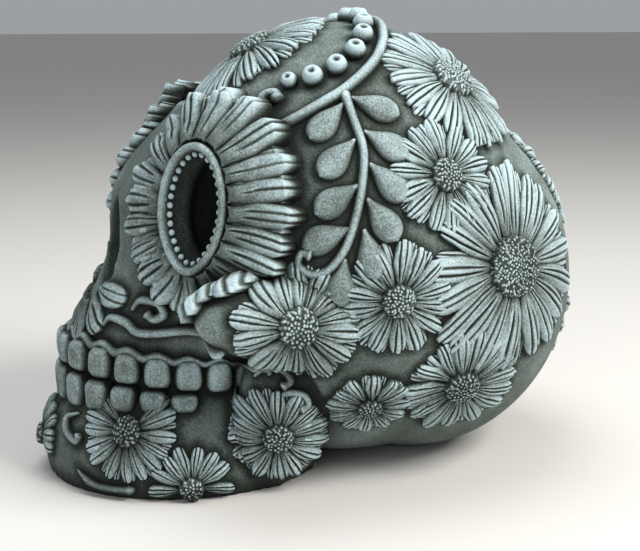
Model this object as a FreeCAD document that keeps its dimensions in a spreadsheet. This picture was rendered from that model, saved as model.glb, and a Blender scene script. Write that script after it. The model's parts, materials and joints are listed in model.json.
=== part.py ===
import FreeCAD, Part
import os
from math import atan2, cos, degrees, hypot, pi, radians, sin, sqrt, tan

import Sketcher
from FreeCAD import Placement, Rotation, Vector

# A sugar skull with daisies, leaves and scrolls in relief. Millimetres, +Z up, the face looks along -Y,
# the skull's left side is +X. It rests on the lower jaw and on the underside of the braincase, at z = 0.

doc = FreeCAD.newDocument("sugar_skull")
sheet = doc.addObject("Spreadsheet::Sheet", "Params")
X_AXIS, Y_AXIS, Z_AXIS = Vector(1, 0, 0), Vector(0, 1, 0), Vector(0, 0, 1)

# --- driving dimensions --------------------------------------------------------------------------------

SIZES = {
    # braincase: a tall front ellipsoid and a rounder rear one
    "vault_half_width": 70, "vault_half_depth": 70, "vault_half_height": 79, "vault_y": 13, "vault_z": 79,
    "rear_half_width": 64, "rear_half_depth": 61.5, "rear_half_height": 66, "rear_y": 37.5, "rear_z": 65,
    # the hollow under the braincase, behind the teeth, is a cylinder along X
    "throat_radius": 36, "throat_y": -42, "throat_z": 22,
    # cheekbones and the rising branches of the lower jaw
    "cheek_half_width": 13, "cheek_half_length": 42, "cheek_half_height": 14,
    "cheek_x": 57, "cheek_y": -13, "cheek_z": 62, "cheek_turn": 15, "cheek_tilt": -8,
    "ramus_half_width": 12, "ramus_half_depth": 18, "ramus_half_height": 34,
    "ramus_x": 40, "ramus_y": -16, "ramus_z": 34, "ramus_tilt": -15,
    # lower jaw
    "jaw_half_width": 46, "jaw_half_depth": 52, "jaw_half_height": 40, "jaw_y": -45.5, "jaw_z": 8.5,
    "jaw_back_y": -26, "jaw_pocket_width": 44, "jaw_pocket_front": -62, "jaw_pocket_floor": 12,
    "bite_z": 37.6,
    # eye sockets
    "eye_x": 45, "eye_y": -46.5, "eye_z": 99, "eye_turn": 39, "eye_lift": 8,
    "socket_half_width": 10.4, "socket_half_height": 17.6, "socket_depth": 40,
    "rim_wire": 3.8, "rim_relief": 6.4, "rim_root": 9,
    "eye_petals": 20, "eye_petal_reach": 16, "eye_bead_radius": 1.6, "eye_bead_count": 24,
    # nose
    "nose_x": 6, "nose_y": -75, "nose_z": 82, "nose_half_width": 5.2, "nose_half_depth": 17,
    "nose_half_height": 16, "nose_tilt": -14,
    "nose_petal_start": 7, "nose_petal_length": 20, "nose_petal_width": 5.6,
    # teeth
    "tooth_pitch": 10.2, "tooth_width": 9, "tooth_depth": 7.6, "teeth_per_side": 8, "tooth_round": 2.4,
    "upper_tooth_height": 12.5, "lower_tooth_height": 11, "tooth_relief": 3.2, "tooth_gap": 0.6,
    "lower_arch_half_width": 36.5, "lower_arch_half_depth": 43.5, "bite_slope": 7,
    "gum_bottom": 51.4, "gum_top": 55, "gum_back": -38,
    # how far the relief stands off the bone
    "petal_relief": 2.2, "disc_relief": 3.6, "frill_relief": 5.4,
    "petal_fill": 0.9,
    # beads, vines and leaves
    "vine_half_width": 1.7, "curl_half_width": 1.4, "bead_radius": 3.6, "bead_dimple": 1.3,
    "leaf_half_length": 7.8, "leaf_half_width": 4.3, "leaf_half_height": 2.8,
    # volume, in mm3, under which a piece left by cutting is dropped
    "least_piece": 10,
}

# Horizontal sections of the mid face, from the bottom up: height, y of the centre, half width, half depth
FACE_SECTIONS = [
    (38, -46, 35, 42), (52, -42, 37, 43), (66, -28, 46, 50), (84, -16, 53, 57),
    (100, -10, 56, 60), (116, -2, 54, 57), (130, 6, 48, 52),
]

# Daisies: middle on the bone, direction they face (turn from the front towards the left side, and lift),
# reach, radius of the middle disc, number of petals, angle between petals, angle of the first petal.
# A full daisy has 360 degrees of petals; the last three are cut off by the teeth, the bite or the base.
DAISIES = {
    "forehead": ((0, -21, 150), 0, 59, 27, 8.5, 15, 24, 0),
    "crown": ((38, 42, 140), 127, 45, 27, 7.5, 16, 22.5, 5),
    "temple": ((64, 30, 110), 105, 20, 19, 5.4, 13, 360 / 13, 10),
    "parietal": ((61, 56, 78), 108, 9, 35, 11, 18, 20, 0),
    "ear": ((71, 12, 71), 90, -6, 19, 5.7, 14, 360 / 14, 8),
    "nape": ((58, 39, 37.5), 91, -27, 21, 6, 15, 24, 3),
    "mastoid": ((57, 7, 32), 83, -33, 14, 5, 12, 30, 0),
    "cheek": ((63, -23, 64), 72, 4, 16.5, 5, 13, 360 / 13, 0),
    "jaw": ((50, -23, 22), 80, -8, 17, 5, 13, 360 / 13, 6),
    "occiput_upper": ((0, 95, 104), 180, 22, 25, 7.5, 16, 22.5, 0),
    "occiput_lower": ((0, 95, 45), 180, -16, 25, 7, 15, 24, 0),
    "chin": ((0, -97, 12), 0, -4, 13, 4, 7, 30, -90),
    "lip": ((36.5, -71.5, 23), 62, 2, 16.5, 5, 12, 24, -132),
    "jaw_edge": ((45.5, -52, 4), 80, -4, 14, 4, 7, 28, -84),
}
MIDDLE_DAISIES = ["forehead", "occiput_upper", "occiput_lower", "chin"]
JAW_DAISIES = ["jaw", "chin", "lip", "jaw_edge"]

# The daisies of the left side in the order in which they are made, and the earlier pieces that each lies under
LIES_UNDER = {
    "crown": ["crown_vine"],
    "temple": ["daisy_crown_left", "sprig_leaves_left"],
    "parietal": ["daisy_temple_left"],
    "ear": ["daisy_parietal_left", "sprig_leaves_left"],
    "nape": ["daisy_parietal_left"],
    "mastoid": ["daisy_nape_left"],
    "cheek": ["eye_petals_left"],
    "jaw": [],
    "lip": ["lower_teeth"],
    "jaw_edge": ["daisy_lip_left"],
}


def fill_sheet():
    """Writes the driving dimensions as plain numbers, each with an alias."""
    rows = dict(SIZES)
    for number, (height, middle, half_width, half_depth) in enumerate(FACE_SECTIONS, 1):
        rows[f"face_level_{number}_height"] = height
        rows[f"face_level_{number}_middle"] = middle
        rows[f"face_level_{number}_half_width"] = half_width
        rows[f"face_level_{number}_half_depth"] = half_depth
    for name, (_, turn, lift, reach, disc, petals, pitch, _) in DAISIES.items():
        rows[f"{name}_turn"] = turn
        rows[f"{name}_lift"] = lift
        rows[f"{name}_reach"] = reach
        rows[f"{name}_disc"] = disc
        rows[f"{name}_petals"] = petals
        rows[f"{name}_pitch"] = round(pitch, 4)
    for row, (alias, value) in enumerate(rows.items(), 1):
        sheet.set(f"A{row}", alias.replace("_", " "))
        sheet.set(f"B{row}", str(value))
        sheet.setAlias(f"B{row}", alias)
    doc.recompute()


# --- helpers -------------------------------------------------------------------------------------------


def bind(thing, **formulas):
    """Binds properties of a document object to the sheet. A formula names sheet cells as {alias}."""
    for prop, formula in formulas.items():
        thing.setExpression(prop, formula.replace("{", "Params.").replace("}", ""))
    return thing


def place(thing, base, rotation=Rotation()):
    thing.Placement = Placement(Vector(*base), rotation)
    return thing


def bind_base(thing, x, y, z):
    for axis, formula in (("x", x), ("y", y), ("z", z)):
        text = formula.replace("{", "Params.").replace("}", "")
        thing.setExpression(f"Placement.Base.{axis}", text)
    return thing


def facing(turn, lift):
    """Rotation that turns local Z to a direction out of the skull and keeps local Y upwards."""
    turn, lift = radians(turn), radians(lift)
    out = Vector(sin(turn) * cos(lift), -cos(turn) * cos(lift), sin(lift))
    side = Z_AXIS.cross(out).normalize()
    return Rotation(side, out.cross(side), out, "ZXY")


def ellipsoid(name, half_width, half_depth, half_height):
    ball = doc.addObject("Part::Ellipsoid", name)
    ball.Angle1, ball.Angle2, ball.Angle3 = -90, 90, 360
    return bind(ball, Radius1=half_height, Radius2=half_width, Radius3=half_depth)


def fuse(name, pieces):
    joined = doc.addObject("Part::MultiFuse", name)
    joined.Shapes = pieces
    return joined


def cut(name, base, tool):
    rest = doc.addObject("Part::Cut", name)
    rest.Base, rest.Tool = base, tool
    return rest


def common(name, base, tool):
    both = doc.addObject("Part::Common", name)
    both.Base, both.Tool = base, tool
    return both


def mirrored(name, source):
    """The right-hand copy of a left-hand piece."""
    twin = doc.addObject("Part::Mirroring", name)
    twin.Source, twin.Normal = source, X_AXIS
    return twin


def group(name, pieces):
    together = doc.addObject("Part::Compound", name)
    together.Links = pieces
    return together


def body_with_sketch(name):
    """A body and a sketch on its own XY plane."""
    body = doc.addObject("PartDesign::Body", name)
    sketch = body.newObject("Sketcher::SketchObject", f"{name}_sketch")
    plane = next(item for item in body.Origin.OriginFeatures if item.Role == "XY_Plane")
    sketch.AttachmentSupport, sketch.MapMode = [(plane, "")], "FlatFace"
    return body, sketch


def pad_both_ways(body, sketch, depth):
    pad = body.newObject("PartDesign::Pad", f"{sketch.Name}_pad")
    pad.Profile, pad.Midplane = sketch, True
    return bind(pad, Length=depth)


# --- bone: the same solids with or without a skin of even thickness ------------------------------------


def slab_between(name, bottom, top):
    """A wide block between two heights."""
    block = doc.addObject("Part::Box", name)
    bind(block, Length="400", Width="400", Height=f"{top} - ({bottom})")
    return bind_base(block, "-200", "-200", bottom)


def mid_face(tag, growth):
    """A loft through horizontal ellipses that are `growth` larger than the sheet says."""
    rings = []
    for number in range(1, len(FACE_SECTIONS) + 1):
        level = f"face_level_{number}"
        ring = doc.addObject("Part::Ellipse", f"face_ring_{tag}")
        bind(ring, MajorRadius=f"{{{level}_half_depth}} + {growth}")
        bind(ring, MinorRadius=f"{{{level}_half_width}} + {growth}")
        ring.Placement = Placement(Vector(), Rotation(Z_AXIS, 90))
        bind_base(ring, "0", f"{{{level}_middle}}", f"{{{level}_height}}")
        rings.append(ring)
    loft = doc.addObject("Part::Loft", f"face_{tag}")
    loft.Sections, loft.Solid = rings, True
    return loft


def braincase(tag, growth):
    vault = ellipsoid(
        f"vault_{tag}", f"{{vault_half_depth}} + {growth}", f"{{vault_half_width}} + {growth}",
        f"{{vault_half_height}} + {growth}",
    )
    vault.Placement = Placement(Vector(), Rotation(Z_AXIS, 90))
    bind_base(vault, "0", "{vault_y}", "{vault_z}")
    rear = ellipsoid(
        f"rear_{tag}", f"{{rear_half_width}} + {growth}", f"{{rear_half_depth}} + {growth}",
        f"{{rear_half_height}} + {growth}",
    )
    bind_base(rear, "0", "{rear_y}", "{rear_z}")
    throat = doc.addObject("Part::Cylinder", f"throat_{tag}")
    bind(throat, Radius=f"{{throat_radius}} - {growth}", Height="2 * {vault_half_width} + 20")
    throat.Placement = Placement(Vector(), Rotation(Y_AXIS, 90))
    bind_base(throat, "-{vault_half_width} - 10", "{throat_y}", "{throat_z}")
    below = fuse(f"below_{tag}", [throat, slab_between(f"ground_{tag}", "-20", "0")])
    return cut(f"braincase_{tag}", fuse(f"braincase_whole_{tag}", [vault, rear]), below)


def side_bone(tag, bone, growth, side):
    """A cheekbone or a rising branch of the jaw: a tilted ellipsoid on one side."""
    long_name = "length" if bone == "cheek" else "depth"
    shape = ellipsoid(
        f"{bone}_{tag}", f"{{{bone}_half_width}} + {growth}", f"{{{bone}_half_{long_name}}} + {growth}",
        f"{{{bone}_half_height}} + {growth}",
    )
    turn = SIZES["cheek_turn"] * side if bone == "cheek" else 0
    tilt = SIZES[f"{bone}_tilt"]
    shape.Placement = Placement(Vector(), Rotation(Z_AXIS, turn).multiply(Rotation(X_AXIS, tilt)))
    return bind_base(shape, f"{side} * {{{bone}_x}}", f"{{{bone}_y}}", f"{{{bone}_z}}")


def upper_bone(tag, growth):
    pieces = [braincase(tag, growth), mid_face(tag, growth)]
    pieces += [side_bone(tag, "cheek", growth, side) for side in (1, -1)]
    return fuse(f"upper_bone_{tag}", pieces)


def jaw_bone(tag, growth):
    """The body of the jaw, flat underneath and at the bite, with its two rising branches."""
    body = ellipsoid(
        f"jaw_body_{tag}", f"{{jaw_half_width}} + {growth}", f"{{jaw_half_depth}} + {growth}",
        f"{{jaw_half_height}} + {growth}",
    )
    bind_base(body, "0", "{jaw_y}", "{jaw_z}")
    flat = common(f"jaw_flat_{tag}", body, slab_between(f"jaw_slab_{tag}", "0", "{bite_z}"))
    return fuse(f"jaw_bone_{tag}", [flat] + [side_bone(tag, "ramus", growth, side) for side in (1, -1)])


def upper_skin(tag, relief):
    """An even layer over the upper bone, from its face to `relief` off it."""
    return cut(f"upper_skin_{tag}", upper_bone(tag, relief), bone_above)


def jaw_skin(tag, relief):
    """An even layer over the lower jaw, where the upper bone leaves it free."""
    layer = cut(f"jaw_layer_{tag}", jaw_bone(tag, relief), bone_below)
    return cut(f"jaw_skin_{tag}", layer, bone_above)


# --- sockets, nose and the two bones -------------------------------------------------------------------


def eye_placed(shape, forward):
    """Puts a shape made around local Z on the left eye's axis, `forward` along it."""
    rotation = facing(SIZES["eye_turn"], SIZES["eye_lift"])
    middle = Vector(SIZES["eye_x"], SIZES["eye_y"], SIZES["eye_z"])
    shape.Placement = Placement(middle + rotation.multVec(Vector(0, 0, forward)), rotation)
    return shape


def eye_socket():
    hollow = ellipsoid("socket", "{socket_half_width}", "{socket_half_height}", "{socket_depth}")
    return eye_placed(hollow, 0)


def nose_hole(side):
    hole = ellipsoid("nostril", "{nose_half_width}", "{nose_half_depth}", "{nose_half_height}")
    hole.Placement = Placement(Vector(), Rotation(X_AXIS, SIZES["nose_tilt"]))
    return bind_base(hole, f"{side} * {{nose_x}}", "{nose_y}", "{nose_z}")


def make_cranium():
    socket = eye_socket()
    holes = fuse("holes", [socket, mirrored("socket_right", socket), nose_hole(1), nose_hole(-1)])
    return cut("cranium", bone_above, holes)


def make_lower_jaw():
    """The jaw is open behind the teeth; its branches run up to the bone above."""
    pocket = doc.addObject("Part::Box", "jaw_pocket")
    bind(pocket, Length="{jaw_pocket_width}", Width="80", Height="{bite_z} + 10")
    bind_base(pocket, "-{jaw_pocket_width} / 2", "{jaw_pocket_front}", "{jaw_pocket_floor}")
    back = doc.addObject("Part::Box", "jaw_back_room")
    bind(back, Length="{jaw_pocket_width} + 8", Width="80", Height="{bite_z} + 40")
    bind_base(back, "-({jaw_pocket_width} + 8) / 2", "{jaw_back_y}", "-10")
    hollow = cut("jaw_hollow", bone_below, fuse("jaw_rooms", [pocket, back]))
    return cut("lower_jaw", hollow, bone_above)


# --- daisies -------------------------------------------------------------------------------------------


def petal_sketch(sketch, name):
    """One petal: two lines that open from the middle and a round end, which just clears the next petal."""
    reach, half_width = SIZES["petal_fill"] * 10, 2
    middle, top = Vector(reach, 0, 0), Vector(reach, half_width, 0)
    bottom = Vector(reach, -half_width, 0)
    sketch.addGeometry(Part.LineSegment(Vector(), bottom))
    sketch.addGeometry(Part.ArcOfCircle(Part.Circle(middle, Z_AXIS, half_width), -pi / 2, pi / 2))
    sketch.addGeometry(Part.LineSegment(top, Vector()))
    sketch.addConstraint(Sketcher.Constraint("Coincident", 0, 1, -1, 1))
    sketch.addConstraint(Sketcher.Constraint("Coincident", 0, 2, 1, 1))
    sketch.addConstraint(Sketcher.Constraint("Coincident", 1, 2, 2, 1))
    sketch.addConstraint(Sketcher.Constraint("Coincident", 2, 2, -1, 1))
    sketch.addConstraint(Sketcher.Constraint("PointOnObject", 1, 3, -1))
    sketch.addConstraint(Sketcher.Constraint("Vertical", 1, 1, 1, 3))
    sketch.addConstraint(Sketcher.Constraint("Vertical", 1, 2, 1, 3))
    sketch.addConstraint(Sketcher.Constraint("DistanceX", -1, 1, 1, 3, reach))
    sketch.renameConstraint(7, "end_middle")
    sketch.addConstraint(Sketcher.Constraint("Radius", 1, half_width))
    sketch.renameConstraint(8, "end_radius")
    spread = f"{{petal_fill}} * sin({{{name}_pitch}} * 0.5 deg)"
    middle_formula = f"{{{name}_reach}} / (1 + {spread})"
    bind(sketch, **{"Constraints.end_middle": middle_formula})
    bind(sketch, **{"Constraints.end_radius": f"{middle_formula} * {spread}"})


def daisy(name):
    """A daisy that follows the bone: a flat outline, and its common part with the skin."""
    centre, turn, lift, reach, _, petals, pitch, first = DAISIES[name]
    petal_layer, disc_layer = skins_jaw if name in JAW_DAISIES else skins_upper
    body, sketch = body_with_sketch(f"{name}_outline")
    petal_sketch(sketch, name)
    pad = pad_both_ways(body, sketch, f"{{{name}_reach}} * 1.3")
    doc.recompute()
    pattern = body.newObject("PartDesign::PolarPattern", f"{name}_pattern")
    pattern.Originals = [pad]
    pattern.Axis = (sketch, ["N_Axis"])
    full = abs(petals * pitch - 360) < 0.01
    pattern.Angle = 360 if full else pitch * (petals - 1)
    bind(pattern, Occurrences=f"{{{name}_petals}}")
    body.Tip = pattern
    upright = facing(turn, lift).multiply(Rotation(Z_AXIS, 90 + first))
    place(body, centre, upright)
    leaves = common(f"{name}_petals", body, petal_layer)
    button = doc.addObject("Part::Cylinder", f"{name}_button")
    bind(button, Radius=f"{{{name}_disc}}", Height=f"{{{name}_reach}} * 0.8")
    out = facing(turn, lift).multVec(Z_AXIS)
    place(button, Vector(*centre) - out * (reach * 0.4), facing(turn, lift))
    middle = common(f"{name}_middle", button, disc_layer)
    return fuse(f"{name}_flower", [leaves, middle])


# --- eye ornaments -------------------------------------------------------------------------------------


def ellipse_point(half_width, half_height, angle):
    return Vector(half_width * cos(angle), half_height * sin(angle), 0)


def even_angles(half_width, half_height, count):
    """Angles that split an ellipse into equal lengths."""
    steps = 720
    lengths = [0.0]
    for step in range(steps):
        here = ellipse_point(half_width, half_height, 2 * pi * step / steps)
        there = ellipse_point(half_width, half_height, 2 * pi * (step + 1) / steps)
        lengths.append(lengths[-1] + (there - here).Length)
    angles = []
    for number in range(count):
        goal = lengths[-1] * number / count
        step = next(index for index in range(steps) if lengths[index + 1] > goal)
        share = (goal - lengths[step]) / (lengths[step + 1] - lengths[step])
        angles.append(2 * pi * (step + share) / steps)
    return angles


def outward(half_width, half_height, angle):
    return Vector(cos(angle) / half_width, sin(angle) / half_height, 0).normalize()


def eye_rim():
    """The oval wire round the socket, on a short wall that reaches into the bone."""
    body, sketch = body_with_sketch("rim_outline")
    inner = SIZES["socket_half_width"], SIZES["socket_half_height"]
    for grow in (0, SIZES["rim_wire"]):
        sketch.addGeometry(Part.Ellipse(Vector(0, inner[1] + grow, 0), Vector(inner[0] + grow, 0, 0), Vector()))
    pad = body.newObject("PartDesign::Pad", "rim_pad")
    pad.Profile = sketch
    bind(pad, Length="{rim_root} + {rim_relief}")
    doc.recompute()
    top = max(pad.Shape.Faces, key=lambda face: face.CenterOfMass.z)
    edges = [f"Edge{i}" for i, edge in enumerate(pad.Shape.Edges, 1) if any(edge.isSame(e) for e in top.Edges)]
    rounding = body.newObject("PartDesign::Fillet", "rim_rounding")
    rounding.Base = (pad, edges)
    bind(rounding, Radius="{rim_wire} * 0.45")
    body.Tip = rounding
    return eye_placed(body, -SIZES["rim_root"])


def eye_petals():
    """A frill of petals with round ends all round the rim."""
    body, sketch = body_with_sketch("frill_outline")
    start = SIZES["rim_wire"] + 0.2
    a, b = SIZES["socket_half_width"] + start, SIZES["socket_half_height"] + start
    reach, count = SIZES["eye_petal_reach"], int(SIZES["eye_petals"])
    mid_a, mid_b = a + reach * 0.8, b + reach * 0.8
    shoulders, tips, valleys = [], [], []
    steps = 8
    angles = even_angles(mid_a, mid_b, count * steps)
    for number in range(count):
        left, tip, right, valley = (angles[steps * number + step] for step in (0, 3, 6, 7))
        shoulders.append((ellipse_point(mid_a, mid_b, left), ellipse_point(mid_a, mid_b, right)))
        out = outward(mid_a, mid_b, tip)
        tips.append(ellipse_point(mid_a, mid_b, tip) + out * reach * 0.2)
        valleys.append(ellipse_point(a + 2, b + 2, valley))
    for number in range(count):
        before, (left, right) = valleys[number - 1], shoulders[number]
        sketch.addGeometry(Part.LineSegment(before, left))
        sketch.addGeometry(Part.Arc(left, tips[number], right))
        sketch.addGeometry(Part.LineSegment(right, valleys[number]))
    sketch.addGeometry(Part.Ellipse(Vector(0, b, 0), Vector(a, 0, 0), Vector()))
    pad_both_ways(body, sketch, "{eye_petal_reach} * 4")
    return common("frill", eye_placed(body, 0), upper_skin("frill", "{frill_relief}"))


def eye_beads():
    """A string of small beads against the inside of the rim."""
    a = SIZES["socket_half_width"] - SIZES["eye_bead_radius"] * 0.7
    b = SIZES["socket_half_height"] - SIZES["eye_bead_radius"] * 0.7
    rotation = facing(SIZES["eye_turn"], SIZES["eye_lift"])
    middle = Vector(SIZES["eye_x"], SIZES["eye_y"], SIZES["eye_z"])
    beads = []
    for angle in even_angles(a, b, int(SIZES["eye_bead_count"])):
        bead = doc.addObject("Part::Sphere", "eye_bead")
        bind(bead, Radius="{eye_bead_radius}")
        local = ellipse_point(a, b, angle) + Z_AXIS * SIZES["rim_relief"] * 0.35
        place(bead, middle + rotation.multVec(local))
        beads.append(bead)
    return group("bead_string", beads)


# --- vines, leaves, scrolls and beads ------------------------------------------------------------------


STRIP_STEPS = 3  # points of each side line of a strip for each stretch of its middle line


def vault_height(x, y):
    """z of the braincase's upper face above (x, y)."""
    best = 0
    for part in ("vault", "rear"):
        across = x / SIZES[f"{part}_half_width"]
        along = (y - SIZES[f"{part}_y"]) / SIZES[f"{part}_half_depth"]
        rest = 1 - across ** 2 - along ** 2
        if rest > 0:
            best = max(best, SIZES[f"{part}_z"] + SIZES[f"{part}_half_height"] * sqrt(rest))
    return best


def vault_side(y, z):
    """x of the braincase's left face beside (y, z)."""
    along = (y - SIZES["vault_y"]) / SIZES["vault_half_depth"]
    up = (z - SIZES["vault_z"]) / SIZES["vault_half_height"]
    return SIZES["vault_half_width"] * sqrt(max(0, 1 - along ** 2 - up ** 2))


def vault_normal(point):
    normal = Vector(
        point.x / SIZES["vault_half_width"] ** 2,
        (point.y - SIZES["vault_y"]) / SIZES["vault_half_depth"] ** 2,
        (point.z - SIZES["vault_z"]) / SIZES["vault_half_height"] ** 2,
    )
    return normal.normalize()


def strip(name, points, half_width, direction, source_skin):
    """A strip with round ends along a smooth line, swept through the skin in `direction`."""
    line = Part.BSplineCurve()
    line.interpolate(points)
    sides, ends = ([], []), []
    steps = STRIP_STEPS * (len(points) - 1)
    for step in range(steps + 1):
        at = line.FirstParameter + (line.LastParameter - line.FirstParameter) * step / steps
        middle, along = line.value(at), line.tangent(at)[0]
        across = direction.cross(along).normalize() * half_width
        sides[0].append(middle + across)
        sides[1].append(middle - across)
        if step in (0, steps):
            ends.append(middle + along * (half_width if step else -half_width))
    edges = []
    for side in sides:
        edge = Part.BSplineCurve()
        edge.interpolate(side)
        edges.append(edge.toShape())
    edges.append(Part.Arc(sides[0][0], ends[0], sides[1][0]).toShape())
    edges.append(Part.Arc(sides[0][-1], ends[1], sides[1][-1]).toShape())
    outline = doc.addObject("Part::Feature", f"{name}_outline")
    outline.Shape = Part.Face(Part.Wire(Part.__sortEdges__(edges)))
    slab = doc.addObject("Part::Extrusion", f"{name}_slab")
    slab.Base, slab.DirMode, slab.Dir = outline, "Custom", direction
    slab.LengthFwd, slab.Solid = 100, True
    return common(name, slab, source_skin)


def side_points(pairs):
    return [Vector(0, y, z) for y, z in pairs]


def crown_vine():
    """The band over the crown, seen from above; each end runs forward and curls in."""
    left = [(36.5, -21), (37.5, -24.5), (41, -25.5), (45, -23), (47.5, -16), (48, -6), (46, 3), (40, 12), (31, 18)]
    left += [(20, 21.5), (10, 23)]
    points = [Vector(x, y, 0) for x, y in left]
    points += [Vector(0, 23.3, 0)] + [Vector(-x, y, 0) for x, y in reversed(left)]
    slab_start = 100
    for point in points:
        point.z = slab_start
    return strip("crown_vine", points, SIZES["vine_half_width"], Z_AXIS, skins_upper[1])


def crown_beads():
    spots = [(37, -15, 0.8), (40, -8, 1), (39.5, 0, 1), (35, 7.5, 1), (27, 12.5, 1), (17.5, 15.5, 1), (7, 17, 1)]
    beads = []
    for side in (1, -1):
        for x, y, scale in spots:
            foot = Vector(side * x, y, vault_height(x, y))
            out = vault_normal(foot)
            ball = doc.addObject("Part::Sphere", "crown_bead_ball")
            bind(ball, Radius=f"{{bead_radius}} * {scale}")
            place(ball, foot)
            dimple = doc.addObject("Part::Sphere", "crown_bead_dimple")
            bind(dimple, Radius=f"{{bead_dimple}} * {scale}")
            place(dimple, foot + out * SIZES["bead_radius"] * scale)
            beads.append(cut("crown_bead", ball, dimple))
    return group("crown_bead_row", beads)


# The sprig hangs from the band in front of the ear: its stem in the side view, and where each leaf sits
STEM = [(0, 136), (1.5, 127), (3, 118), (1.5, 108), (-1.5, 97), (-5, 88), (-10, 81.5), (-15, 80.5), (-18, 84.5)]
LEAVES = [  # (y, z) of the leaf's root and of its tip
    ((3, 133.5), (15, 129)), ((-1.5, 132), (-12, 122)), ((5, 123), (16, 117)), ((0, 121), (-10.5, 111)),
    ((5, 113), (14, 104.5)), ((-1, 107), (-12, 100)), ((3, 103), (11, 91.5)), ((-4, 94), (-16, 89.5)),
    ((1, 94), (4.5, 79)), ((-6.5, 84), (-6.5, 71)),
]


def sprig_leaves():
    leaves = []
    for (root_y, root_z), (tip_y, tip_z) in LEAVES:
        y, z = (root_y + tip_y) / 2, (root_z + tip_z) / 2
        middle = Vector(vault_side(y, z), y, z)
        root = Vector(vault_side(root_y, root_z), root_y, root_z)
        tip = Vector(vault_side(tip_y, tip_z), tip_y, tip_z)
        out = vault_normal(middle)
        leaf = ellipsoid("leaf", "{leaf_half_width}", "{leaf_half_length}", "{leaf_half_height}")
        along = (tip - root).normalize()
        place(leaf, middle, Rotation(along.cross(out), along, out, "ZYX"))
        leaves.append(leaf)
    return group("leaf_row", leaves)


LIP_SCROLL = [(-77, 55.5), (-74, 59.5), (-69.5, 59), (-66, 55.5), (-60, 56), (-52, 57.5), (-44, 57.5)]
LIP_CURL = [(-68, 64), (-63, 67), (-58.5, 64.5), (-60.5, 61.5)]
JAW_CURLS = [
    [(-30, 42), (-25, 45.5), (-19, 43), (-20, 39)],
    [(-24, 34.5), (-19, 37), (-13.5, 34.5), (-14.5, 31)],
]
CHIN_CURLS = [
    [(-87, 25), (-90, 21.5), (-89, 17.5), (-86, 18.5)],
    [(-88, 8), (-83, 5), (-77, 3.8), (-70, 3.8)],
]


def curls(name, lines, layer):
    made = [
        strip(f"{name}_{n}", side_points(line), SIZES["curl_half_width"], X_AXIS, layer)
        for n, line in enumerate(lines, 1)
    ]
    return group(name, made)


# --- teeth and gums ------------------------------------------------------------------------------------


def arch_spots(half_width, half_depth, middle, pitch, count):
    """Even steps along a dental arch (a horizontal ellipse) from the midline, with the direction out."""
    spots, angle, travelled, step = [], 0.0, 0.0, 0.002
    goals = [(number + 0.5) * pitch for number in range(count)]
    while len(spots) < count:
        travelled += hypot(half_width * cos(angle), half_depth * sin(angle)) * step
        angle += step
        if travelled >= goals[len(spots)]:
            out = Vector(sin(angle) / half_width, -cos(angle) / half_depth, 0).normalize()
            spots.append((Vector(half_width * sin(angle), middle - half_depth * cos(angle), 0), out))
    return spots


def teeth(name, bottom, height, section):
    """One row of rounded blocks along the arch, both sides; the bite drops a little towards the back."""
    _, middle, half_width, half_depth = section
    spots = arch_spots(half_width, half_depth, middle, SIZES["tooth_pitch"], int(SIZES["teeth_per_side"]))
    row = []
    for side in (1, -1):
        for spot, out in spots:
            block = doc.addObject("Part::Box", f"{name}_block")
            bind(block, Length="{tooth_width}", Width="{tooth_depth}", Height=height)
            drop = (spot.y - spots[0][0].y) * tan(radians(SIZES["bite_slope"]))
            outside = Vector(spot.x * side, spot.y, bottom - drop)
            outside += Vector(out.x * side, out.y, 0) * SIZES["tooth_relief"]
            heading = degrees(atan2(out.x * side, -out.y))
            turn = Rotation(Z_AXIS, heading)
            place(block, outside + turn.multVec(Vector(-SIZES["tooth_width"] / 2, 0, 0)), turn)
            rounded = doc.addObject("Part::Fillet", f"{name}_tooth")
            rounded.Base = block
            rounded.Edges = [(edge, SIZES["tooth_round"], SIZES["tooth_round"]) for edge in range(1, 13)]
            row.append(rounded)
    return group(name, row)


def gum_band():
    room = doc.addObject("Part::Box", "gum_room")
    bind(room, Length="200", Width="{gum_back} + 120", Height="{gum_top} - {gum_bottom}")
    room.Placement = Placement(Vector(), Rotation(X_AXIS, -SIZES["bite_slope"]))
    bind_base(room, "-100", "-120", "{gum_bottom} + 3.5")
    return common("gum_band_blank", room, skins_upper[0])


# --- nose petals ---------------------------------------------------------------------------------------


def nose_petals():
    """Long petals that spread from the nose down over the upper jaw."""
    petals = []
    for number, angle in enumerate((-55, -33, -11, 11, 33, 55), 1):
        blade = doc.addObject("Part::Ellipse", "nose_blade_outline")
        bind(blade, MajorRadius="{nose_petal_length} / 2", MinorRadius="{nose_petal_width} / 2")
        slab = doc.addObject("Part::Extrusion", "nose_blade")
        slab.Base, slab.DirMode, slab.Dir = blade, "Custom", Z_AXIS
        slab.LengthFwd, slab.Solid = 60, True
        turn = facing(0, -20).multiply(Rotation(Z_AXIS, angle - 90))
        nose = Vector(0, -60, SIZES["nose_z"] - 6)
        place(slab, nose + turn.multVec(Vector(SIZES["nose_petal_start"] + SIZES["nose_petal_length"] / 2, 0, 0)), turn)
        petals.append(common(f"nose_petal_{number}", slab, skins_upper[0]))
    return group("nose_petal_row", petals)


# --- assembly ------------------------------------------------------------------------------------------

fill_sheet()
bone_above, bone_below = upper_bone("bare", "0"), jaw_bone("bare", "0")
skins_upper = upper_skin("petal", "{petal_relief}"), upper_skin("disc", "{disc_relief}")
skins_jaw = jaw_skin("petal", "{petal_relief}"), jaw_skin("disc", "{disc_relief}")
doc.recompute()

nodes, boxes = {}, {}


def tight_box(shape):
    """The box of a coarse mesh of the shape, which is much quicker than the exact one."""
    points, _ = shape.Shape.tessellate(0.5)
    box = FreeCAD.BoundBox()
    for point in points:
        box.add(point)
    return box


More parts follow.
